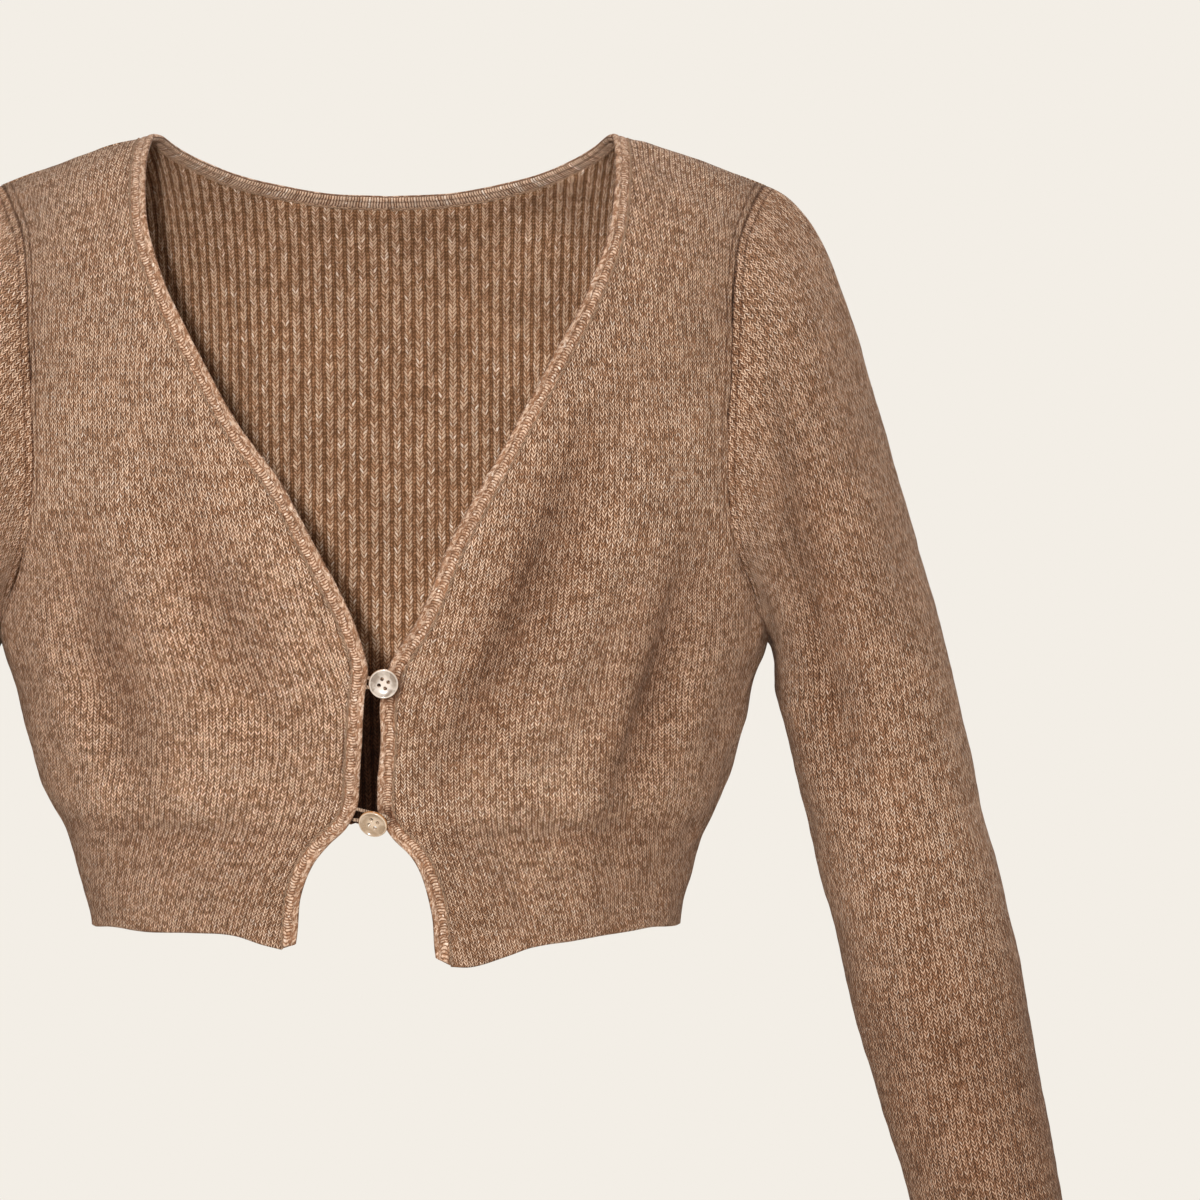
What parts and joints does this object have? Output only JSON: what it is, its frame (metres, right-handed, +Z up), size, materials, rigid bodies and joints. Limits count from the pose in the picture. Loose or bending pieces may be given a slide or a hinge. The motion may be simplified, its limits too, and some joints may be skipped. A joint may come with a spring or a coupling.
{
  "type": "cropped cardigan",
  "caption": "Cropped long-sleeved knit cardigan with a deep V neck, a narrow edge band, buttons on yarn loops and fronts that curve away below, filled out as if worn.",
  "frame": {"origin": "midway between the two neck points of the shoulders, where a wearer holds it up", "axes": "+Z up, the front faces -Y, +X towards the wearer's left sleeve"},
  "size_m": [0.6912, 0.2331, 0.6141],
  "materials": {
    "rib_back": "dull brown wool-like rib, raised on the outer face",
    "knit_front_left": "dull brown wool-like knit",
    "knit_front_right": "dull brown wool-like knit",
    "knit_sleeve_left": "dull brown wool-like knit",
    "knit_sleeve_right": "dull brown wool-like knit",
    "knit_band": "dull brown knitted edging, rolled at its outer edge",
    "pearl_upper": "pearly cream, half gloss",
    "pearl_lower": "pearly cream, half gloss",
    "cord_upper": "dull brown yarn",
    "cord_lower": "dull brown yarn"
  },
  "bodies": {
    "root": {"back": "rib_back", "front_left": "knit_front_left", "front_right": "knit_front_right", "sleeve_left": "knit_sleeve_left", "sleeve_right": "knit_sleeve_right", "edge_band": "knit_band", "button_upper": "pearl_upper", "button_lower": "pearl_lower", "button_loop_upper": "cord_upper", "button_loop_lower": "cord_lower"}
  },
  "joints": []
}
